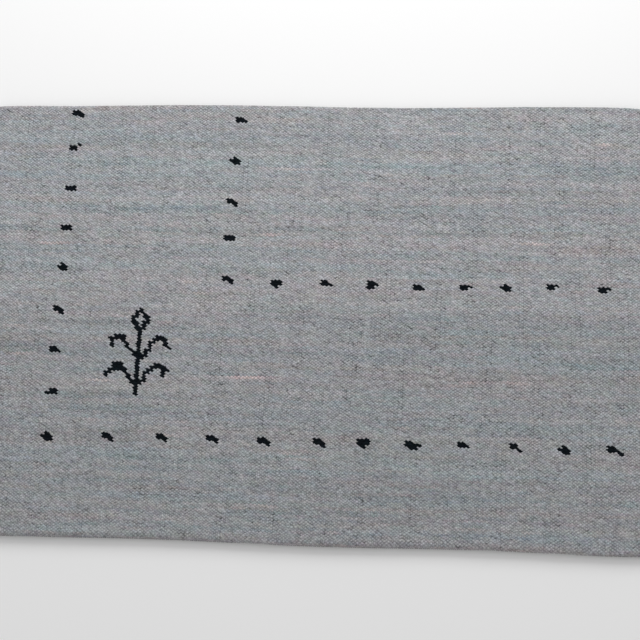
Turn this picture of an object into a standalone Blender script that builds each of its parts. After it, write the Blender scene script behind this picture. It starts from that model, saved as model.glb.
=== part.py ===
"""A flat cut length of gabbeh rug: a woven back with a dense short pile of wool knots, as one solid.

Metres, +Z up. The rows of knots run along X and the warps along Y. The rug lies on its back, and the
origin is on the underside, at the middle of the piece's bounding box.
"""

import math

import bmesh
import bpy

# The weave, counted in knots and rows, which sets the size of the piece
KNOT_PITCH = 0.0045  # from knot to knot along a row
ROW_PITCH = 0.00335  # from one row of knots to the next
KNOTS_IN_ROW = 176
ROWS_OF_KNOTS = 158
WIDTH = KNOTS_IN_ROW * KNOT_PITCH
LENGTH = ROWS_OF_KNOTS * ROW_PITCH

# Through the thickness
BACK_THICKNESS = 0.0028  # warps, wefts and the loops of the knots
PILE_HEIGHT = 0.0087
THICKNESS = BACK_THICKNESS + PILE_HEIGHT

# Cells of the pile's surface, fine enough for its slow rise and fall
CELLS_ALONG_X = 33
CELLS_ALONG_Y = 22

# A cut edge from the pile's surface down to the floor: inset from the outline, height above the floor
EDGE_PROFILE = (
    {"inset": 0.0050, "height": THICKNESS},
    {"inset": 0.0018, "height": THICKNESS - 0.0011},
    {"inset": 0.0000, "height": THICKNESS - 0.0040},
    {"inset": 0.0008, "height": BACK_THICKNESS + 0.0010},
    {"inset": 0.0020, "height": BACK_THICKNESS},
    {"inset": 0.0020, "height": 0.0},
)

# How the cloth was cut by hand: slow waves of each edge, as lengths and depths
EDGE_WAVES = {
    "left": {"depth": 0.0012, "length": 0.310, "start": 0.4},
    "right": {"depth": 0.0014, "length": 0.270, "start": 2.1},
    "near": {"depth": 0.0010, "length": 0.360, "start": 1.2},
    "far": {"depth": 0.0011, "length": 0.430, "start": 3.3},
}
CORNER_DRAW = 0.0022  # how far a corner is drawn in, where its pile falls away
CORNER_SHARPNESS = 24

# How evenly the pile was trimmed
TRIM_DEPTH = 0.0004
TRIM_LENGTH_X = 0.230
TRIM_LENGTH_Y = 0.170

WOOL_COLOUR = (0.265, 0.280, 0.298, 1.0)
WOOL_ROUGHNESS = 0.95


def clear_scene():
    """Removes whatever objects are there."""
    for thing in list(bpy.data.objects):
        bpy.data.objects.remove(thing, do_unlink=True)


def wave(edge, along):
    """How far a cut edge strays outwards at a place along it."""
    row = EDGE_WAVES[edge]
    return row["depth"] * math.sin(2 * math.pi * along / row["length"] + row["start"])


def laid(x, y):
    """Where a point of the plain rectangle lies, once its edges stray and its corners draw in."""
    across = 2 * x / WIDTH
    along = 2 * y / LENGTH
    sideways = wave("right" if x > 0 else "left", y)
    endways = wave("far" if y > 0 else "near", x)
    corner = CORNER_DRAW * abs(across * along) ** CORNER_SHARPNESS
    return (
        x + across**3 * sideways - math.copysign(corner, x),
        y + along**3 * endways - math.copysign(corner, y),
    )


def trim(x, y):
    """The slow rise and fall of the trimmed pile."""
    slow = math.sin(2 * math.pi * x / TRIM_LENGTH_X + 0.7)
    slower = math.sin(2 * math.pi * (y / TRIM_LENGTH_Y + 0.3 * x / TRIM_LENGTH_X))
    return TRIM_DEPTH * 0.5 * (slow + slower)


def outline_share(inset):
    """The sizes of an inset outline, as shares of the full width and length."""
    return 1 - 2 * inset / WIDTH, 1 - 2 * inset / LENGTH


def place(vert, plain, inset, height, follows_trim):
    """Puts a vertex on the rug, from its place on a plain unit rectangle."""
    share_x, share_y = outline_share(inset)
    x = plain[0] * WIDTH * share_x
    y = plain[1] * LENGTH * share_y
    rise = trim(x, y) if follows_trim else 0.0
    vert.co = (*laid(x, y), height + rise)


def make_rug_mesh():
    """The rug as one closed body: the pile's surface, the cut edges below it and the flat underside."""
    bm = bmesh.new()
    bmesh.ops.create_grid(bm, x_segments=CELLS_ALONG_X, y_segments=CELLS_ALONG_Y, size=0.5)
    plain = {vert: vert.co.xy.copy() for vert in bm.verts}
    top = EDGE_PROFILE[0]
    for vert in bm.verts:
        place(vert, plain[vert], top["inset"], top["height"], True)

    ring = [edge for edge in bm.edges if edge.is_boundary]
    corners_of_ring = {vert for edge in ring for vert in edge.verts}
    where = {vert: plain[vert] for vert in corners_of_ring}
    for step in EDGE_PROFILE[1:]:
        made = bmesh.ops.extrude_edge_only(bm, edges=ring)
        new_verts = [item for item in made["geom"] if isinstance(item, bmesh.types.BMVert)]
        new_edges = [item for item in made["geom"] if isinstance(item, bmesh.types.BMEdge)]
        new_where = {}
        for vert in new_verts:
            above = next(
                edge.other_vert(vert) for edge in vert.link_edges if edge.other_vert(vert) in where
            )
            new_where[vert] = where[above]
            in_pile = step["height"] > BACK_THICKNESS
            place(vert, where[above], step["inset"], step["height"], in_pile)
        ring = [edge for edge in new_edges if edge.is_boundary]
        where = new_where
    bmesh.ops.contextual_create(bm, geom=ring)
    bmesh.ops.recalc_face_normals(bm, faces=bm.faces)

    mesh = bpy.data.meshes.new("rug")
    bm.to_mesh(mesh)
    bm.free()
    return mesh


def centre_on_floor(mesh):
    """Moves the mesh so that the middle of its bounding box is over the origin."""
    xs = [vert.co.x for vert in mesh.vertices]
    ys = [vert.co.y for vert in mesh.vertices]
    for vert in mesh.vertices:
        vert.co.x -= (min(xs) + max(xs)) / 2
        vert.co.y -= (min(ys) + max(ys)) / 2


def wool_material():
    """Undyed and grey-blue wool, seen as one flat finish."""
    material = bpy.data.materials.new("wool")
    material.use_nodes = True
    shader = material.node_tree.nodes["Principled BSDF"]
    shader.inputs["Base Color"].default_value = WOOL_COLOUR
    shader.inputs["Roughness"].default_value = WOOL_ROUGHNESS
    shader.inputs["Metallic"].default_value = 0.0
    return material


def make_rug():
    """The rug's one object, with its finish and shading."""
    mesh = make_rug_mesh()
    centre_on_floor(mesh)
    mesh.shade_smooth()
    mesh.set_sharp_from_angle(angle=math.radians(40))
    mesh.materials.append(wool_material())
    rug = bpy.data.objects.new("rug", mesh)
    bpy.context.scene.collection.objects.link(rug)
    return rug


clear_scene()
make_rug()
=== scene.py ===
"""A cut length of gabbeh rug: a woven back and a short dense wool pile, two yarn ends for each knot.

Metres, +Z up. The rows of knots run along X and the warps along Y. The origin is on the underside, at
the middle of the piece. The dark dots and the plant are knots of dark wool in the same pile.
"""

import math

import bmesh
import bpy
import numpy as np
from mathutils import Matrix, Vector


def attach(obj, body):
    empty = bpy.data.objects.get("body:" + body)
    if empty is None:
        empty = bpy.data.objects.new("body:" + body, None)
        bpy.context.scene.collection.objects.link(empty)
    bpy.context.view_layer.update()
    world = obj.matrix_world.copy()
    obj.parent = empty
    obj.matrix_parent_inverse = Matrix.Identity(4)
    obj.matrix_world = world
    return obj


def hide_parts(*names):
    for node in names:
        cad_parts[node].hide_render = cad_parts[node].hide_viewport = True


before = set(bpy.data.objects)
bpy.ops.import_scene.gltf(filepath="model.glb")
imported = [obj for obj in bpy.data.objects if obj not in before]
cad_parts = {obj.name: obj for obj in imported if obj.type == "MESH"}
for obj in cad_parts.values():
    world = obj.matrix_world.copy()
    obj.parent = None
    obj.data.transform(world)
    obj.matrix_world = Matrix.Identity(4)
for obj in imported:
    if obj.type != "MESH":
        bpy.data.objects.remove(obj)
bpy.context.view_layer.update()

bl_info = {
    "name": "Gabbeh rug",
    "version": (1, 0, 0),
    "blender": (4, 5, 0),
    "location": "3D Viewport > Sidebar > Rug",
    "description": "Knots a cut length of gabbeh rug, tuft by tuft, and lays it in a pale studio",
    "category": "Add Mesh",
}

# How the cloth was cut by hand: slow waves of each edge, as lengths and depths
EDGE_WAVES = {
    "left": {"depth": 0.0012, "length": 0.310, "start": 0.4},
    "right": {"depth": 0.0014, "length": 0.270, "start": 2.1},
    "near": {"depth": 0.0010, "length": 0.360, "start": 1.2},
    "far": {"depth": 0.0011, "length": 0.430, "start": 3.3},
}
CORNER_DRAW = 0.0022
CORNER_SHARPNESS = 24
TRIM_DEPTH = 0.0004
TRIM_LENGTH_X = 0.230
TRIM_LENGTH_Y = 0.170
RIM_INSETS = (0.0, 0.0018, 0.0050)  # how far inside the cut edge
RIM_DROPS = (0.0040, 0.0011, 0.0)  # how far the pile falls away there

# The corner dot of the border is knot 0 of row 0
FIRST_COLUMN = -23
FIRST_ROW = -34

# A knot's two yarn ends: four-sided in the field, where they press together, and rounder in a motif
FIELD_SIDES = 4
MOTIF_SIDES = 8
FIELD_SLANT = 1.0  # how far one end lies nearer than the other, beside half a row
MOTIF_SLANT = 0.5
FOOT_HALF_SIZE = (0.29, 0.55)  # of a yarn end at the back, in knots and rows
FOOT_RISE = 0.0010  # from the lowest point of a loop to the yarn end's foot
TUFT_SHAPES = 28
SHAPES_SEED = 7
FIELD_SEED = 100
MOTIF_SEED = 300
STRIPS = 8

# How unevenly the knots are tied and clipped
KNOT_TURN = math.radians(4)
KNOT_SIZE_SPREAD = 0.04
LEAN_SPREAD = 0.0001
TIP_SPREAD = 0.07
TIP_RISE_SPREAD = 0.0001
CROWN_RANGE = (0.8, 1.2)
CROWN_STRAY = 0.00015
TUFT_SIZE_SPREAD = 0.04
TUFT_HEIGHT_SPREAD = 0.008
TUFT_STRAY = 0.00018

# Slow waves of the warps and of the rows: depth, lengths along x and along y, and start
WARP_WAVES = ((0.00045, 0.052, 0.40, 0.5), (0.00030, 0.031, -0.35, 0.0))
ROW_WAVES = ((0.00040, 0.30, 0.047, 0.0), (0.00050, 0.085, 0.21, 0.0))

# How far from its middle each part of a yarn end lies in the map, in half squares
CELL_MARGIN = 0.96
TIP_REACH = 0.46
FOOT_REACH = 0.84
LOOP_REACH = 0.98

# How the tips near a cut edge spread outwards
RIM_WIDTH = 0.008
RIM_DRAW = 0.0006

# The woven back
BACK_INSET = 0.0020
UPPER_RIB = 0.0003
LOWER_RIB = 0.0004

# Dye streaks: share, length in knots, breadth in rows, and which skein
HUE_STREAKS = ((0.55, 220, 3.2, 1.7), (0.56, 16, 1.9, 11.3), (0.58, 2.6, 1.6, 23.9))
BLUSH_STREAKS = ((0.45, 120, 2.4, 41.1), (0.9, 2.4, 1.4, 53.7))
SHADE_STREAKS = ((0.60, 160, 2.8, 67.3), (0.62, 26, 2.0, 79.9), (0.45, 6, 1.5, 91.1))
TEAL_WAY = (-0.79, 0.30, 0.53)
PLUM_WAY = (0.12, -0.76, 0.64)
LOT_HALF_ROWS = 7.0  # over which one dye lot gives way to the next

# The stage
FLOOR_SIZE = 6
FLOOR_DROP = 0.0002
KEY_PLACE = (0.05, 0.95, 0.85)
KEY_TOWARDS = (0.05, 0, 0)
KEY_SIZE = (1.8, 0.7)

# Dots of the border lines, knot by knot, the far row first
DOTS = {
    "arm": ("..#", "##.", "##."),
    "brick": ("###", "###"),
    "bun": (".#.", "###", ".##"),
    "hump": ("##..", "####", ".##."),
    "loose": ("##.", "##.", "..#"),
    "plum": ("##.", "###", "##."),
    "ramp": (".##", "###"),
    "shield": ("###", "###", ".#."),
    "slab": ("###", "##."),
    "tailed": ("##.", "###", "..#"),
    "trail": ("##..", "###.", "...#"),
    "wedge": ("##.", "###"),
}

# Each dot's far left knot, as its column and row, and its kind
OUTER_ROW = (
    (-1, 1, "bun"),
    (15, 1, "tailed"),
    (29, 1, "tailed"),
    (42, 1, "tailed"),
    (55, 1, "tailed"),
    (69, 1, "tailed"),
    (80, 1, "shield"),
    (92, 1, "hump"),
    (105, 1, "wedge"),
    (118, 1, "loose"),
    (130, 1, "bun"),
    (142, 1, "trail"),
)
OUTER_COLUMN = (
    (-1, 16, "ramp"),
    (-1, 31, "wedge"),
    (-1, 46, "tailed"),
    (-1, 62, "bun"),
    (-1, 76, "brick"),
    (-1, 91, "brick"),
    (-1, 108, "arm"),
    (-1, 121, "tailed"),
)
INNER_COLUMN = (
    (43, 73, "brick"),
    (43, 87, "tailed"),
    (43, 103, "bun"),
    (44, 118, "wedge"),
)
INNER_ROW = (
    (43, 58, "tailed"),
    (56, 57, "shield"),
    (69, 57, "wedge"),
    (81, 57, "plum"),
    (93, 56, "wedge"),
    (105, 56, "slab"),
    (115, 57, "bun"),
    (127, 57, "slab"),
    (140, 56, "slab"),
)

# The plant, knot by knot, the far row first. Its stem stands on one warp pair.
PLANT = (
    "........#.........",
    ".......##.........",
    ".......#.#........",
    "......##.##.......",
    "......#...#.......",
    "......##.##.......",
    ".......#.#........",
    ".......###........",
    "........#.........",
    "........#.........",
    "..###...#....##...",
    ".####...#...####..",
    ".#..#...#..##..#..",
    ".#...#..#..#...#..",
    ".#...#..#..#....#.",
    "......#.#.##......",
    ".......##.#.......",
    ".......####.......",
    "........##........",
    "........#.........",
    "..###...#....##...",
    "..###...#...####..",
    ".#####..#..##..##.",
    "##...#..#.##...#..",
    "#.....#.#.#....#..",
    "......#.#.#.......",
    ".......####.......",
    ".......###........",
    "........#.........",
    "........#.........",
    "........#.........",
    "........#.........",
)
PLANT_FAR_LEFT = (14, 46)


class RugWeave(bpy.types.PropertyGroup):
    """How the rug is knotted, clipped and cut."""

    knot_pitch: bpy.props.FloatProperty(
        name="Knot pitch",
        description="From one knot to the next along a row",
        default=0.0045,
        unit="LENGTH",
    )
    row_pitch: bpy.props.FloatProperty(
        name="Row pitch",
        description="From one row of knots to the next",
        default=0.00335,
        unit="LENGTH",
    )
    knots_in_row: bpy.props.IntProperty(
        name="Knots in a row", description="Knots from side to side", default=176
    )
    rows_of_knots: bpy.props.IntProperty(
        name="Rows of knots", description="Rows from the near edge to the far one", default=158
    )
    thickness: bpy.props.FloatProperty(
        name="Thickness",
        description="From the floor to the clipped tips of the pile",
        default=0.0115,
        unit="LENGTH",
    )
    back_low: bpy.props.FloatProperty(
        name="Back, lower side",
        description="How high above the floor the wefts start, over the knots' loops",
        default=0.0007,
        unit="LENGTH",
    )
    back_high: bpy.props.FloatProperty(
        name="Back, upper side",
        description="How high above the floor the wefts end",
        default=0.0026,
        unit="LENGTH",
    )
    tip_share: bpy.props.FloatProperty(
        name="Tip share",
        description="How much of its own space a clipped tip fills from side to side",
        default=1.24,
        subtype="FACTOR",
    )
    dark_tip_share: bpy.props.FloatProperty(
        name="Dark tip share",
        description="The same for the fuller dark wool",
        default=1.36,
        subtype="FACTOR",
    )
    crown_height: bpy.props.FloatProperty(
        name="Crown",
        description="How far the middle of a clipped tip stands above its sides",
        default=0.0010,
        unit="LENGTH",
    )
    tip_unevenness: bpy.props.FloatProperty(
        name="Unevenness",
        description="How far one tip stands above or below the next",
        default=0.00012,
        unit="LENGTH",
    )
    tip_lean: bpy.props.FloatProperty(
        name="Lean",
        description="How far the pile leans towards the near edge",
        default=0.0008,
        unit="LENGTH",
    )


class WoolColours(bpy.types.PropertyGroup):
    """What the wool was dyed and how unevenly, and the painted shade between its tufts."""

    ground: bpy.props.FloatVectorProperty(
        name="Ground wool",
        description="The grey-blue wool of the field",
        subtype="COLOR",
        default=(0.523, 0.536, 0.5585),
    )
    dark: bpy.props.FloatVectorProperty(
        name="Dark wool",
        description="The near-black wool of the dots and the plant",
        subtype="COLOR",
        default=(0.0055, 0.0085, 0.0115),
    )
    weft: bpy.props.FloatVectorProperty(
        name="Weft",
        description="The wool wefts and cotton warps of the back",
        subtype="COLOR",
        default=(0.36, 0.35, 0.33),
    )
    hue_streaks: bpy.props.FloatProperty(
        name="Colour streaks",
        description="How far the dye runs from teal to beige along the rows",
        default=0.060,
    )
    shade_streaks: bpy.props.FloatProperty(
        name="Shade streaks",
        description="How far the dye runs from light to dark along the rows",
        default=0.082,
    )
    lot_row: bpy.props.FloatProperty(
        name="Change of dye lot",
        description="The row of knots where the wool of the next dye lot takes over",
        default=47.0,
    )
    lot_shade: bpy.props.FloatProperty(
        name="Shade of the near lot",
        description="How light the near lot is beside the far one",
        default=0.920,
        subtype="FACTOR",
    )
    tuft_shades: bpy.props.FloatProperty(
        name="Shade of single tufts",
        description="How much one tuft differs from its neighbours",
        default=0.08,
    )
    # Painted shade: darkens the wool's colour where one tip meets the next, in place of the shade that
    # falls between tufts.
    painted_rim_shade: bpy.props.FloatProperty(
        name="Painted shade between tufts",
        description="How light the wool is where one tip meets the next, beside a tip's crown",
        default=0.50,
        subtype="FACTOR",
    )


class StudioSet(bpy.types.PropertyGroup):
    """The pale floor, the lamps and the camera."""

    floor_colour: bpy.props.FloatVectorProperty(
        name="Floor", description="The pale floor", subtype="COLOR", default=(0.92, 0.92, 0.92)
    )
    key_power: bpy.props.FloatProperty(
        name="Key lamp", description="The wide lamp beyond the far edge", default=9.5, unit="POWER"
    )
    fill_strength: bpy.props.FloatProperty(
        name="Fill", description="The even light of the room", default=0.60
    )
    aim: bpy.props.FloatVectorProperty(
        name="Aim",
        description="The point of the pile at the middle of the picture",
        subtype="TRANSLATION",
        unit="LENGTH",
        default=(0.0193, -0.0058, 0.0115),
    )
    distance: bpy.props.FloatProperty(
        name="Distance", description="From the camera to the aim", default=1.7322, unit="LENGTH"
    )
    height_angle: bpy.props.FloatProperty(
        name="Height angle",
        description="How steeply the camera looks down",
        default=math.radians(72.687),
        subtype="ANGLE",
    )
    bearing: bpy.props.FloatProperty(
        name="Bearing",
        description="How far the camera stands to the side of the warps",
        default=math.radians(19.465),
        subtype="ANGLE",
    )
    roll: bpy.props.FloatProperty(
        name="Roll",
        description="How far the camera is turned about its own line of sight",
        default=math.radians(-17.526),
        subtype="ANGLE",
    )
    lens: bpy.props.FloatProperty(
        name="Lens", description="Focal length, in millimetres", default=84.375
    )


def edge_wave(edge, along):
    """How far a cut edge strays outwards at each place along it."""
    row = EDGE_WAVES[edge]
    return row["depth"] * np.sin(2 * np.pi * along / row["length"] + row["start"])


def laid(x, y, width, length):
    """Where points of the plain rectangle lie, once its edges stray and its corners draw in."""
    across = 2 * x / width
    along = 2 * y / length
    sideways = np.where(x > 0, edge_wave("right", y), edge_wave("left", y))
    endways = np.where(y > 0, edge_wave("far", x), edge_wave("near", x))
    corner = CORNER_DRAW * np.minimum(np.abs(across * along), 1) ** CORNER_SHARPNESS
    return (
        x + across**3 * sideways - np.copysign(corner, x),
        y + along**3 * endways - np.copysign(corner, y),
    )


def trimmed(x, y):
    """The slow rise and fall of the trimmed pile."""
    slow = np.sin(2 * np.pi * x / TRIM_LENGTH_X + 0.7)
    slower = np.sin(2 * np.pi * (y / TRIM_LENGTH_Y + 0.3 * x / TRIM_LENGTH_X))
    return TRIM_DEPTH * 0.5 * (slow + slower)


def wavered(x, y):
    """Where the knots lie once the warps stand unevenly and the rows are beaten down unevenly."""

    def waves(table):
        return sum(
            depth * np.sin(2 * np.pi * (x / long_x + y / long_y) + start)
            for depth, long_x, long_y, start in table
        )

    return x + waves(WARP_WAVES), y + waves(ROW_WAVES)


def rug_size(weave):
    """The plain width and length of the rug."""
    return weave.knots_in_row * weave.knot_pitch, weave.rows_of_knots * weave.row_pitch


def charted(chart, column, row):
    """The knots of a chart, with its far left knot at the given column and row."""
    return {
        (column + step, row - down)
        for down, line in enumerate(chart)
        for step, mark in enumerate(line)
        if mark == "#"
    }


def dark_knots():
    """Every knot of dark wool, as a column and a row."""
    knots = charted(PLANT, *PLANT_FAR_LEFT)
    for column, row, kind in OUTER_ROW + OUTER_COLUMN + INNER_COLUMN + INNER_ROW:
        knots |= charted(DOTS[kind], column, row)
    return knots


def tie_knot(weave, random, share, sides, slant):
    """One knot: a loop over each of its two warps, and two yarn ends that rise to clipped, crowned tips."""
    bm = bmesh.new()
    bm.loops.layers.uv.new("OFBake")
    turn = Matrix.Rotation(random.normal(0, KNOT_TURN), 3, "Z")
    size = random.normal(1, KNOT_SIZE_SPREAD)
    lean = (random.normal(0, LEAN_SPREAD), random.normal(-weave.tip_lean, LEAN_SPREAD))
    foot_x = FOOT_HALF_SIZE[0] * weave.knot_pitch
    foot_y = FOOT_HALF_SIZE[1] * weave.row_pitch
    for side in (-1, 1):
        made = bmesh.ops.create_cone(
            bm, cap_ends=True, cap_tris=True, segments=sides, radius1=1, radius2=1, depth=1
        )["verts"]
        low = [vert for vert in made if vert.co.z < 0]
        high = [vert for vert in made if vert.co.z > 0]
        foot = [vert for vert in low if vert.co.xy.length > 0.5]
        tip = [vert for vert in high if vert.co.xy.length > 0.5]
        loop = next(vert for vert in low if vert not in foot)
        crown = next(vert for vert in high if vert not in tip)
        unfold_end(bm, side, (foot, tip, loop, crown))

        for vert in tip:
            vert.co.xy *= random.normal(1, TIP_SPREAD)
        half_x = 0.5 * weave.knot_pitch * share * size
        half_y = 0.5 * weave.row_pitch * share * size
        bmesh.ops.scale(bm, vec=(half_x, half_y, 1), verts=tip)
        bmesh.ops.scale(bm, vec=(foot_x, foot_y, 1), verts=foot)
        for vert in made:
            vert.co.z = 0
        height = weave.thickness - abs(random.normal(0, weave.tip_unevenness))
        shoulder = height - weave.crown_height * random.uniform(*CROWN_RANGE)
        apart = (side * weave.knot_pitch / 4, -side * slant * weave.row_pitch / 4)
        stray = (random.normal(0, CROWN_STRAY), random.normal(0, CROWN_STRAY))
        bmesh.ops.translate(bm, vec=(side * weave.knot_pitch / 4, 0, 0), verts=low)
        bmesh.ops.translate(bm, vec=(0, 0, FOOT_RISE), verts=foot)
        bmesh.ops.translate(bm, vec=(*apart, shoulder), verts=high)
        bmesh.ops.rotate(bm, matrix=turn, verts=high)
        bmesh.ops.translate(bm, vec=(*lean, 0), verts=high)
        bmesh.ops.translate(bm, vec=(*stray, height - shoulder), verts=[crown])
        for vert in tip:
            vert.co.z += random.normal(0, TIP_RISE_SPREAD)
    return bm


def unfold_end(bm, side, end):
    """Spreads the skin of a yarn end into its half of the knot's square of the map."""
    foot, tip, loop, crown = end
    corner_reach = 1 / math.cos(math.pi / len(tip))
    reach = {crown: 0.0, loop: LOOP_REACH}
    reach.update({vert: TIP_REACH * corner_reach for vert in tip})
    reach.update({vert: FOOT_REACH * corner_reach for vert in foot})
    layer = bm.loops.layers.uv["OFBake"]
    faces = {face for vert in reach for face in vert.link_faces}
    for face in faces:
        middle = face.calc_center_median().xy
        for corner in face.loops:
            way = middle if corner.vert is loop else corner.vert.co.xy
            turn = math.atan2(way.y, way.x) + math.radians(45)
            away = 0.5 * CELL_MARGIN * reach[corner.vert]
            corner[layer].uv = (
                0.5 + 0.25 * side + 0.5 * away * math.cos(turn),
                0.5 + away * math.sin(turn),
            )


def tuft_shapes(weave, form, count, seed):
    """Several tufts as arrays: the places of their corners, and the faces and map that all share."""
    random = np.random.default_rng(seed)
    places = []
    for _ in range(count):
        bm = tie_knot(weave, random, *form)
        bm.verts.index_update()
        places.append([vert.co[:] for vert in bm.verts])
        layer = bm.loops.layers.uv["OFBake"]
        shared = {
            "corners": np.array([loop.vert.index for face in bm.faces for loop in face.loops]),
            "sides": np.array([len(face.verts) for face in bm.faces]),
            "map": np.array([loop[layer].uv[:] for face in bm.faces for loop in face.loops]),
        }
        bm.free()
    return np.array(places), shared


def spread_by_rim(x, y, high, width, length):
    """Draws the tips near a cut edge outwards and down, so that the edge is rounded."""
    inset = np.minimum(width / 2 - np.abs(x), length / 2 - np.abs(y))
    near = np.clip(1 - inset / RIM_WIDTH, 0, 1) * high
    x = x + RIM_DRAW * near * np.sign(x) * (width / 2 - np.abs(x) < RIM_WIDTH)
    y = y + RIM_DRAW * near * np.sign(y) * (length / 2 - np.abs(y) < RIM_WIDTH)
    x = np.clip(x, -width / 2, width / 2)
    y = np.clip(y, -length / 2, length / 2)
    inset = np.minimum(width / 2 - np.abs(x), length / 2 - np.abs(y))
    return x, y, np.interp(inset, RIM_INSETS, RIM_DROPS) * high


def tie_tufts(name, knots, weave, form, seed):
    """One mesh of many tufts, each from one of the shapes and slightly its own size and place."""
    shapes, shared = tuft_shapes(weave, form, TUFT_SHAPES, SHAPES_SEED)
    random = np.random.default_rng(seed)
    count = len(knots)
    knots = np.array(knots, dtype=float)
    width, length = rug_size(weave)

    points = shapes[random.integers(TUFT_SHAPES, size=count)]
    points[:, :, :2] *= random.normal(1, TUFT_SIZE_SPREAD, (count, 1, 1))
    points[:, :, 2] *= random.normal(1, TUFT_HEIGHT_SPREAD, (count, 1))
    high = points[:, :, 2] / points[:, :, 2].max(axis=1, keepdims=True)

    middle_x = (knots[:, 0] - FIRST_COLUMN + 0.5) * weave.knot_pitch - width / 2
    middle_y = (knots[:, 1] - FIRST_ROW + 0.5) * weave.row_pitch - length / 2
    middle_x, middle_y = wavered(middle_x, middle_y)
    stray = random.normal(0, TUFT_STRAY, (count, 2))
    x = points[:, :, 0] + middle_x[:, None] + high * stray[:, :1]
    y = points[:, :, 1] + middle_y[:, None] + high * stray[:, 1:]
    x, y, drop = spread_by_rim(x, y, high, width, length)
    z = points[:, :, 2] + high * trimmed(x, y) - drop
    x, y = laid(x, y, width, length)

    mesh = bpy.data.meshes.new(name)
    per_tuft = points.shape[1]
    firsts = np.arange(count) * per_tuft
    corners = (shared["corners"][None, :] + firsts[:, None]).ravel()
    sides = np.tile(shared["sides"], count)
    mesh.vertices.add(count * per_tuft)
    mesh.loops.add(len(corners))
    mesh.polygons.add(len(sides))
    mesh.vertices.foreach_set("co", np.stack([x, y, z], axis=-1).astype(np.float32).ravel())
    mesh.loops.foreach_set("vertex_index", corners.astype(np.int32))
    mesh.polygons.foreach_set("loop_start", (np.cumsum(sides) - sides).astype(np.int32))
    mesh.update(calc_edges=True)
    mesh.shade_smooth()

    cells = math.ceil(math.sqrt(count))
    cell = np.stack([np.arange(count) % cells, np.arange(count) // cells], axis=-1)
    spots = (shared["map"][None, :, :] + cell[:, None, :]) / cells
    layer = mesh.uv_layers.new(name="OFBake")
    layer.uv.foreach_set("vector", spots.astype(np.float32).ravel())

    luck = np.repeat(random.random((count, 2)), per_tuft // 2, axis=1).reshape(-1, 1)
    which = np.concatenate([np.repeat(knots, per_tuft, axis=0), luck], axis=1)
    knot = mesh.attributes.new("knot", "FLOAT_VECTOR", "POINT")
    knot.data.foreach_set("vector", which.astype(np.float32).ravel())
    tip = mesh.attributes.new("tip", "FLOAT", "POINT")
    tip.data.foreach_set("value", high.astype(np.float32).ravel())
    return mesh


def show(mesh, material, as_cloth=True):
    """A piece of the rug from its mesh and finish."""
    mesh.materials.append(material)
    piece = bpy.data.objects.new(mesh.name, mesh)
    bpy.context.scene.collection.objects.link(piece)
    if as_cloth:
        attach(piece, "root")
    return piece


class Tree:
    """Short ways to add and join shader nodes."""

    def __init__(self, tree):
        self.tree = tree

    def add(self, kind, values=(), **settings):
        """A node, with its settings and the values or links of its inputs."""
        node = self.tree.nodes.new(kind)
        for key, value in settings.items():
            setattr(node, key, value)
        for key, value in dict(values).items():
            if isinstance(value, bpy.types.NodeSocket):
                self.tree.links.new(value, node.inputs[key])
            else:
                node.inputs[key].default_value = value
        return node

    def math(self, operation, *values):
        """A Math node's result."""
        node = self.add("ShaderNodeMath", enumerate(values), operation=operation)
        return node.outputs[0]

    def vector(self, operation, *values, **named):
        """A Vector Math node's result."""
        inputs = {**dict(enumerate(values)), **named}
        return self.add("ShaderNodeVectorMath", inputs, operation=operation).outputs[0]


def new_group(name, inputs, outputs):
    """A shader node group with named sockets, its tree and its input node."""
    group = bpy.data.node_groups.new(name, "ShaderNodeTree")
    for label, kind, value in inputs:
        socket = group.interface.new_socket(label, in_out="INPUT", socket_type=kind)
        if value is not None:
            socket.default_value = value
    for label, kind in outputs:
        group.interface.new_socket(label, in_out="OUTPUT", socket_type=kind)
    tree = Tree(group)
    return group, tree, tree.add("NodeGroupInput").outputs, tree.add("NodeGroupOutput")


def streak_group():
    """Noise that runs along the rows of knots, as the yarn's dye does."""
    group, tree, given, made = new_group(
        "Yarn streaks",
        (
            ("Knot", "NodeSocketVector", None),
            ("Length", "NodeSocketFloat", 20.0),
            ("Breadth", "NodeSocketFloat", 1.5),
            ("Skein", "NodeSocketFloat", 0.0),
        ),
        (("Value", "NodeSocketFloat"),),
    )
    apart = tree.add("ShaderNodeSeparateXYZ", {0: given["Knot"]}).outputs
    along = tree.math("DIVIDE", apart["X"], given["Length"])
    across = tree.math("DIVIDE", apart["Y"], given["Breadth"])
    place = tree.add("ShaderNodeCombineXYZ", {0: along, 1: across, 2: given["Skein"]}).outputs[0]
    noise = tree.add(
        "ShaderNodeTexNoise",
        {"Vector": place, "Scale": 1.0, "Detail": 1.0, "Roughness": 0.5},
    ).outputs["Fac"]
    value = tree.math("MULTIPLY", tree.math("SUBTRACT", noise, 0.5), 6.0)
    tree.tree.links.new(value, made.inputs["Value"])
    return group


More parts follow.
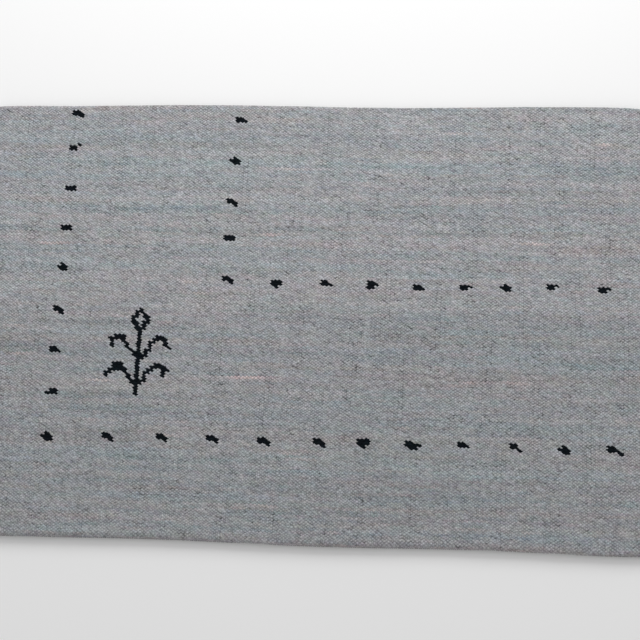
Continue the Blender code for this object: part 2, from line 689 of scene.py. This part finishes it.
def dye_group(streaks):
    """The uneven dye of the wool: a ground colour with streaks of shade and of hue."""
    group, tree, given, made = new_group(
        "Uneven dye",
        (
            ("Knot", "NodeSocketVector", None),
            ("Ground", "NodeSocketColor", (0.4, 0.4, 0.4, 1)),
            ("Shade Streaks", "NodeSocketFloat", 0.03),
            ("Hue Streaks", "NodeSocketFloat", 0.03),
            ("Tuft Shades", "NodeSocketFloat", 0.05),
            ("Lot Row", "NodeSocketFloat", 0.0),
            ("Lot Shade", "NodeSocketFloat", 1.0),
        ),
        (("Colour", "NodeSocketColor"),),
    )

    def streak(length, breadth, skein):
        inputs = {"Knot": given["Knot"], "Length": length, "Breadth": breadth, "Skein": skein}
        return tree.add("ShaderNodeGroup", inputs, node_tree=streaks).outputs["Value"]

    def blend(table):
        total = 0.0
        for share, length, breadth, skein in table:
            total = tree.math("MULTIPLY_ADD", streak(length, breadth, skein), share, total)
        return total

    hue = blend(HUE_STREAKS)
    blush = blend(BLUSH_STREAKS)
    shade = blend(SHADE_STREAKS)
    undyed = tree.math("MAXIMUM", tree.math("SUBTRACT", streak(19, 0.8, 131.3), 1.25), 0.0)
    hue = tree.math("MULTIPLY_ADD", undyed, -5.0, hue)
    shade = tree.math("MULTIPLY_ADD", undyed, 4.2, shade)
    apart = tree.add("ShaderNodeSeparateXYZ", {0: given["Knot"]}).outputs
    single = tree.math("MULTIPLY", tree.math("SUBTRACT", apart["Z"], 0.5), 3.4)
    hue_sum = tree.math("MULTIPLY", hue, given["Hue Streaks"])
    beige_is_paler = tree.math("MULTIPLY", hue_sum, -0.3)
    paler = tree.math("MULTIPLY_ADD", single, given["Tuft Shades"], beige_is_paler)
    shade_sum = tree.math("MULTIPLY_ADD", shade, given["Shade Streaks"], paler)
    blush_sum = tree.math("MULTIPLY", tree.math("MULTIPLY", blush, given["Hue Streaks"]), 0.45)

    tealed = tree.vector("MULTIPLY_ADD", TEAL_WAY, hue_sum, (1, 1, 1))
    blushed = tree.vector("MULTIPLY_ADD", PLUM_WAY, blush_sum, tealed)
    factor = tree.vector("ADD", blushed, shade_sum)
    past = tree.math("SUBTRACT", apart["Y"], given["Lot Row"])
    uneven = tree.math("MULTIPLY_ADD", streak(60, 5.0, 151.9), 3.0, past)
    lot = tree.add(
        "ShaderNodeMapRange",
        {
            "Value": uneven,
            "From Min": -LOT_HALF_ROWS,
            "From Max": LOT_HALF_ROWS,
            "To Min": given["Lot Shade"],
        },
        interpolation_type="SMOOTHSTEP",
    ).outputs[0]
    colour = tree.vector("MULTIPLY", tree.vector("MULTIPLY", given["Ground"], factor), lot)
    tree.tree.links.new(colour, made.inputs["Colour"])
    return group


def fibres_and_painted_shade_group():
    """Wool fibres, with fine hairs along each tuft, and painted shade: the colour darkens down in the pile
    and towards the rim of each tip, where one tip meets the next.
    """
    group, tree, given, made = new_group(
        "Wool fibres and painted shade",
        (
            ("Colour", "NodeSocketColor", (0.4, 0.4, 0.4, 1)),
            ("Tip", "NodeSocketFloat", 1.0),
            ("Painted Root Shade", "NodeSocketFloat", 0.5),
            ("Painted Rim Shade", "NodeSocketFloat", 1.0),
            ("Hair Scale", "NodeSocketFloat", 2600.0),
        ),
        (
            ("Colour", "NodeSocketColor"),
            ("Roughness", "NodeSocketFloat"),
            ("Height", "NodeSocketFloat"),
        ),
    )
    place = tree.add("ShaderNodeTexCoord").outputs["Object"]
    stretched = tree.vector("MULTIPLY", place, (1.0, 1.0, 0.22))
    hairs = tree.add(
        "ShaderNodeTexNoise",
        {"Vector": stretched, "Scale": given["Hair Scale"], "Detail": 2.0, "Roughness": 0.6},
    ).outputs["Fac"]
    # Painted shade: the colour darkens down the pile towards the roots, where shade falls between tufts.
    depth = tree.math("POWER", given["Tip"], 1.6)
    root = tree.add(
        "ShaderNodeMapRange", {"Value": depth, "To Min": given["Painted Root Shade"], "To Max": 1.0}
    ).outputs[0]
    hair_shade = tree.add(
        "ShaderNodeMapRange",
        {"Value": hairs, "From Min": 0.3, "From Max": 0.7, "To Min": 0.93, "To Max": 1.07},
    ).outputs[0]
    # Painted shade: each tip darkens towards its rim, where it meets the next tip.
    rim_painted_shade = tree.add(
        "ShaderNodeMapRange", {"Value": given["Tip"], "From Min": 0.90, "To Min": given["Painted Rim Shade"]}
    ).outputs[0]
    ply_values = {"Vector": place, "Scale": 900.0, "Detail": 0.0}
    ply_noise = tree.add("ShaderNodeTexNoise", ply_values).outputs["Fac"]
    plies = tree.add(
        "ShaderNodeMapRange",
        {"Value": ply_noise, "From Min": 0.3, "From Max": 0.7, "To Min": 0.82, "To Max": 1.18},
    ).outputs[0]
    # Painted rim shade times the random tone of the plies.
    rounded = tree.math("MULTIPLY", rim_painted_shade, plies)
    # Painted root and rim shade, times the random tone of the hairs.
    shade = tree.math("MULTIPLY", tree.math("MULTIPLY", root, rounded), hair_shade)
    colour = tree.vector("MULTIPLY", given["Colour"], shade)
    tree.tree.links.new(colour, made.inputs["Colour"])
    rough = tree.add(
        "ShaderNodeMapRange",
        {"Value": hairs, "From Min": 0.3, "From Max": 0.7, "To Min": 0.98, "To Max": 0.84},
    ).outputs[0]
    tree.tree.links.new(rough, made.inputs["Roughness"])
    tree.tree.links.new(hairs, made.inputs["Height"])
    return group


def shared_group(name, make, *parts):
    """A node group that is built once and then used again."""
    return bpy.data.node_groups.get(name) or make(*parts)


def wool_material(name, dye_inputs, painted_shades, sheen, specular):
    """Pile wool in one dye."""
    streaks = shared_group("Yarn streaks", streak_group)
    dye = shared_group("Uneven dye", dye_group, streaks)
    fibres = shared_group("Wool fibres and painted shade", fibres_and_painted_shade_group)
    material = bpy.data.materials.new(name)
    material.use_nodes = True
    tree = Tree(material.node_tree)
    shader = material.node_tree.nodes["Principled BSDF"]
    knot = tree.add("ShaderNodeAttribute", attribute_name="knot").outputs["Vector"]
    tip = tree.add("ShaderNodeAttribute", attribute_name="tip").outputs["Fac"]
    dyed = tree.add("ShaderNodeGroup", {"Knot": knot, **dye_inputs}, node_tree=dye)
    haired = tree.add(
        "ShaderNodeGroup",
        {"Colour": dyed.outputs["Colour"], "Tip": tip, **painted_shades},
        node_tree=fibres,
    )
    bump = tree.add(
        "ShaderNodeBump", {"Height": haired.outputs["Height"], "Strength": 0.5, "Distance": 0.0002}
    )
    tree.tree.links.new(haired.outputs["Colour"], shader.inputs["Base Color"])
    tree.tree.links.new(haired.outputs["Roughness"], shader.inputs["Roughness"])
    tree.tree.links.new(bump.outputs["Normal"], shader.inputs["Normal"])
    shader.inputs["Metallic"].default_value = 0.0
    shader.inputs["Specular IOR Level"].default_value = specular
    shader.inputs["Sheen Weight"].default_value = sheen
    shader.inputs["Sheen Roughness"].default_value = 0.5
    return material


def back_material(colour, weave):
    """The wefts and warps between the knots: spun yarn under and over at every warp, with painted shade
    where the yarn dips under.
    """
    fibres = shared_group("Wool fibres and painted shade", fibres_and_painted_shade_group)
    material = bpy.data.materials.new("weft_and_warp")
    material.use_nodes = True
    tree = Tree(material.node_tree)
    shader = material.node_tree.nodes["Principled BSDF"]
    place = tree.add("ShaderNodeTexCoord").outputs["Object"]
    apart = tree.add("ShaderNodeSeparateXYZ", {0: place}).outputs
    warps = tree.math("SINE", tree.math("MULTIPLY", apart["X"], 4 * math.pi / weave.knot_pitch))
    picks = tree.math("SINE", tree.math("MULTIPLY", apart["Y"], 4 * math.pi / weave.row_pitch))
    over = tree.math("MULTIPLY", warps, picks)
    # Painted shade: the yarn is darker where it dips under and lighter where it rides over, following the
    # bump.
    shade = tree.add(
        "ShaderNodeMapRange", {"Value": over, "From Min": -1.0, "To Min": 0.72, "To Max": 1.05}
    ).outputs[0]
    yarn = tree.vector("MULTIPLY", colour, shade)
    haired = tree.add(
        "ShaderNodeGroup", {"Colour": yarn, "Tip": 1.0, "Painted Root Shade": 1.0}, node_tree=fibres
    )
    height = tree.math("MULTIPLY_ADD", haired.outputs["Height"], 0.4, over)
    bump = tree.add("ShaderNodeBump", {"Height": height, "Strength": 0.6, "Distance": 0.0003})
    tree.tree.links.new(haired.outputs["Colour"], shader.inputs["Base Color"])
    tree.tree.links.new(haired.outputs["Roughness"], shader.inputs["Roughness"])
    tree.tree.links.new(bump.outputs["Normal"], shader.inputs["Normal"])
    shader.inputs["Metallic"].default_value = 0.0
    shader.inputs["Specular IOR Level"].default_value = 0.25
    return material


class RUG_OT_tie_pile(bpy.types.Operator):
    """Tie the knots of the field, in strips of rows."""

    bl_idname = "rug.tie_pile"
    bl_label = "Tie the pile"

    def execute(self, context):
        weave = context.scene.rug_weave
        wool = context.scene.rug_wool
        dye_inputs = {
            "Ground": (*wool.ground, 1),
            "Shade Streaks": wool.shade_streaks,
            "Hue Streaks": wool.hue_streaks,
            "Tuft Shades": wool.tuft_shades,
            "Lot Row": wool.lot_row,
            "Lot Shade": wool.lot_shade,
        }
        # Painted shade down in the pile and between the tips of the ground wool.
        painted_shades = {"Painted Root Shade": 0.55, "Painted Rim Shade": wool.painted_rim_shade}
        material = wool_material("grey_blue_wool", dye_inputs, painted_shades, 0.15, 0.25)
        dark = dark_knots()
        form = (weave.tip_share, FIELD_SIDES, FIELD_SLANT)
        rows = np.array_split(np.arange(weave.rows_of_knots) + FIRST_ROW, STRIPS)
        for number, strip in enumerate(rows, 1):
            knots = [
                (FIRST_COLUMN + step, row)
                for row in strip
                for step in range(weave.knots_in_row)
                if (FIRST_COLUMN + step, row) not in dark
            ]
            mesh = tie_tufts(f"pile_{number}", knots, weave, form, FIELD_SEED + number)
            show(mesh, material)
        return {"FINISHED"}


class RUG_OT_tie_motifs(bpy.types.Operator):
    """Tie the dark knots of the dotted border lines and of the plant."""

    bl_idname = "rug.tie_motifs"
    bl_label = "Tie the dots and the plant"

    def execute(self, context):
        weave = context.scene.rug_weave
        wool = context.scene.rug_wool
        dye_inputs = {
            "Ground": (*wool.dark, 1),
            "Shade Streaks": 0.10,
            "Hue Streaks": 0.12,
            "Tuft Shades": 0.16,
        }
        # Painted shade down in the pile and between the tips of the dark wool.
        painted_shades = {"Painted Root Shade": 0.6, "Painted Rim Shade": 0.8}
        material = wool_material("dark_wool", dye_inputs, painted_shades, 0.0, 0.05)
        knots = sorted(dark_knots())
        form = (weave.dark_tip_share, MOTIF_SIDES, MOTIF_SLANT)
        show(tie_tufts("dark_knots", knots, weave, form, MOTIF_SEED), material)
        return {"FINISHED"}


class RUG_OT_weave_back(bpy.types.Operator):
    """Weave the back that the knots are tied into."""

    bl_idname = "rug.weave_back"
    bl_label = "Weave the back"

    def execute(self, context):
        weave = context.scene.rug_weave
        width, length = rug_size(weave)
        bm = bmesh.new()
        bmesh.ops.create_grid(bm, x_segments=22, y_segments=4 * weave.rows_of_knots, size=0.5)
        lower = list(bm.faces)
        raised = bmesh.ops.extrude_face_region(bm, geom=lower, use_keep_orig=True)["geom"]
        top = {item for item in raised if isinstance(item, bmesh.types.BMVert)}
        for vert in bm.verts:
            x = vert.co.x * (width - 2 * BACK_INSET)
            y = vert.co.y * (length - 2 * BACK_INSET)
            rib = 0.5 - 0.5 * math.cos(2 * math.pi * (y + length / 2) / weave.row_pitch)
            upper = weave.back_high - UPPER_RIB * (1 - rib)
            lower_side = weave.back_low - LOWER_RIB * rib
            z = upper if vert in top else lower_side
            x, y = laid(x, y, width, length)
            vert.co = (float(x), float(y), z)
        bmesh.ops.recalc_face_normals(bm, faces=bm.faces)
        mesh = bpy.data.meshes.new("woven_back")
        bm.to_mesh(mesh)
        bm.free()
        mesh.shade_smooth()
        mesh.set_sharp_from_angle(angle=math.radians(50))
        back = show(mesh, back_material(context.scene.rug_wool.weft, weave))
        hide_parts("rug")
        return {"FINISHED"}


def plain_material(name, colour):
    """A matt finish with a faint unevenness."""
    material = bpy.data.materials.new(name)
    material.use_nodes = True
    tree = Tree(material.node_tree)
    shader = material.node_tree.nodes["Principled BSDF"]
    place = tree.add("ShaderNodeTexCoord").outputs["Object"]
    noise_values = {"Vector": place, "Scale": 3.0, "Detail": 3.0}
    noise = tree.add("ShaderNodeTexNoise", noise_values).outputs["Fac"]
    rough_values = {"Value": noise, "To Min": 0.85, "To Max": 0.95}
    rough = tree.add("ShaderNodeMapRange", rough_values).outputs[0]
    tree.tree.links.new(rough, shader.inputs["Roughness"])
    shader.inputs["Base Color"].default_value = (*colour, 1)
    shader.inputs["Specular IOR Level"].default_value = 0.2
    return material


def add_lamp(name, place, towards, size, power):
    """A wide soft lamp that faces a point."""
    lamp = bpy.data.lights.new(name, "AREA")
    lamp.shape = "RECTANGLE"
    lamp.size, lamp.size_y = size
    lamp.energy = power
    thing = bpy.data.objects.new(name, lamp)
    bpy.context.scene.collection.objects.link(thing)
    way = (Vector(towards) - Vector(place)).to_track_quat("-Z", "Y")
    thing.matrix_world = Matrix.Translation(place) @ way.to_matrix().to_4x4()
    return thing


class RUG_OT_set_stage(bpy.types.Operator):
    """Set the floor, the lamps and the camera."""

    bl_idname = "rug.set_stage"
    bl_label = "Set the stage"

    def execute(self, context):
        scene = context.scene
        studio = scene.rug_studio
        bm = bmesh.new()
        bmesh.ops.create_grid(bm, x_segments=1, y_segments=1, size=FLOOR_SIZE)
        bmesh.ops.translate(bm, vec=(0, 0, -FLOOR_DROP), verts=bm.verts)
        mesh = bpy.data.meshes.new("floor")
        bm.to_mesh(mesh)
        bm.free()
        floor = show(mesh, plain_material("pale_floor", studio.floor_colour), as_cloth=False)

        add_lamp("key_lamp", KEY_PLACE, KEY_TOWARDS, KEY_SIZE, studio.key_power)

        world = bpy.data.worlds.new("room_light")
        world.use_nodes = True
        background = world.node_tree.nodes["Background"]
        background.inputs["Color"].default_value = (1, 1, 1, 1)
        background.inputs["Strength"].default_value = studio.fill_strength
        scene.world = world
        scene.view_settings.view_transform = "Standard"

        camera = bpy.data.cameras.new("camera")
        camera.lens = studio.lens
        camera.sensor_width = 36
        camera.sensor_fit = "HORIZONTAL"
        camera.clip_start = 0.05
        thing = bpy.data.objects.new("camera", camera)
        scene.collection.objects.link(thing)
        turned = (
            Matrix.Rotation(studio.bearing, 4, "Z")
            @ Matrix.Rotation(math.pi / 2 - studio.height_angle, 4, "X")
            @ Matrix.Rotation(studio.roll, 4, "Z")
        )
        away = turned.to_3x3().col[2] * studio.distance
        thing.matrix_world = Matrix.Translation(Vector(studio.aim) + away) @ turned
        scene.camera = thing
        return {"FINISHED"}


class RUG_PT_panel(bpy.types.Panel):
    """Lists the rug's settings and the steps that make it."""

    bl_label = "Gabbeh rug"
    bl_idname = "RUG_PT_panel"
    bl_space_type = "VIEW_3D"
    bl_region_type = "UI"
    bl_category = "Rug"

    def draw(self, context):
        layout = self.layout
        for group in (context.scene.rug_weave, context.scene.rug_wool, context.scene.rug_studio):
            box = layout.box()
            for key in group.bl_rna.properties.keys():
                if key not in ("rna_type", "name"):
                    box.prop(group, key)
        for operator in OPERATORS:
            layout.operator(operator.bl_idname)


OPERATORS = (RUG_OT_tie_pile, RUG_OT_tie_motifs, RUG_OT_weave_back, RUG_OT_set_stage)
CLASSES = (RugWeave, WoolColours, StudioSet, *OPERATORS, RUG_PT_panel)
SETTINGS = {"rug_weave": RugWeave, "rug_wool": WoolColours, "rug_studio": StudioSet}


def register():
    """Makes the settings, operators and panel known."""
    for kind in CLASSES:
        bpy.utils.register_class(kind)
    for name, kind in SETTINGS.items():
        setattr(bpy.types.Scene, name, bpy.props.PointerProperty(type=kind))


def unregister():
    """Takes them away again."""
    for name in SETTINGS:
        delattr(bpy.types.Scene, name)
    for kind in reversed(CLASSES):
        bpy.utils.unregister_class(kind)


def main():
    """Builds the rug and its studio."""
    register()
    bpy.ops.rug.tie_pile()
    bpy.ops.rug.tie_motifs()
    bpy.ops.rug.weave_back()
    bpy.ops.rug.set_stage()


if __name__ == "__main__":
    main()
